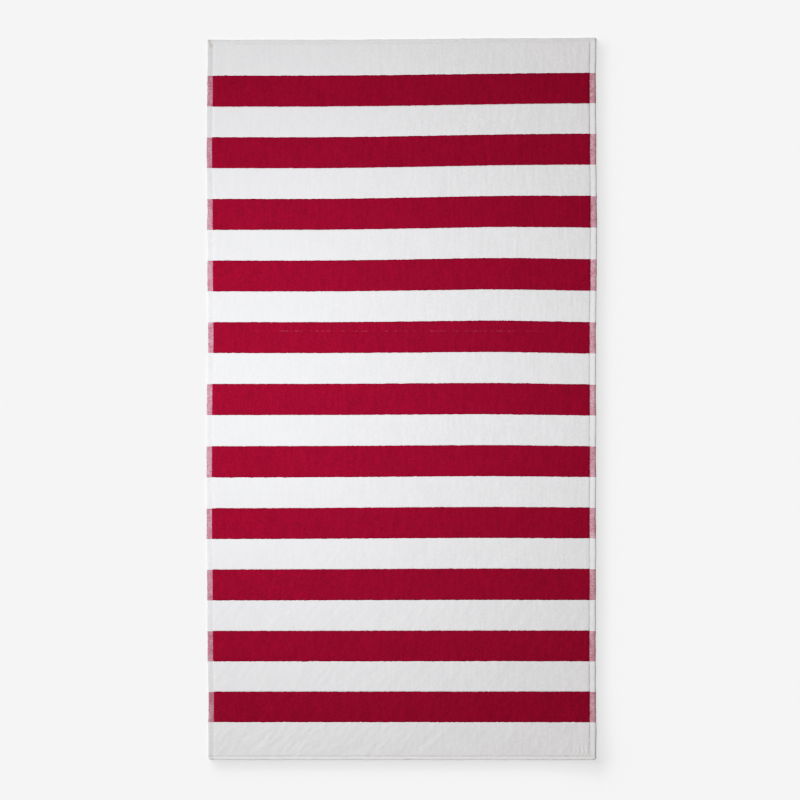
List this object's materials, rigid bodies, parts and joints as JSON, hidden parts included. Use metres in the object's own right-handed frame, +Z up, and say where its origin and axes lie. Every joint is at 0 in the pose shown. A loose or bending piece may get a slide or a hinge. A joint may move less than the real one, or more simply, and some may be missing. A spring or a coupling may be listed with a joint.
{
  "type": "beach towel",
  "caption": "Striped terry beach towel spread flat, with flat-woven side hems and narrow turned end hems.",
  "frame": {"origin": "middle of the flat underside, on the surface the towel lies on", "axes": "+Y along the length towards the slanting end, +X across the width, +Z up out of the pile"},
  "size_m": [1.004, 1.8572, 0.0042],
  "materials": {
    "striped_terry": "cut-pile cotton terry, dark red stripes on white, plain weave at the hems"
  },
  "bodies": {
    "root": {"towel": "striped_terry"}
  },
  "joints": []
}
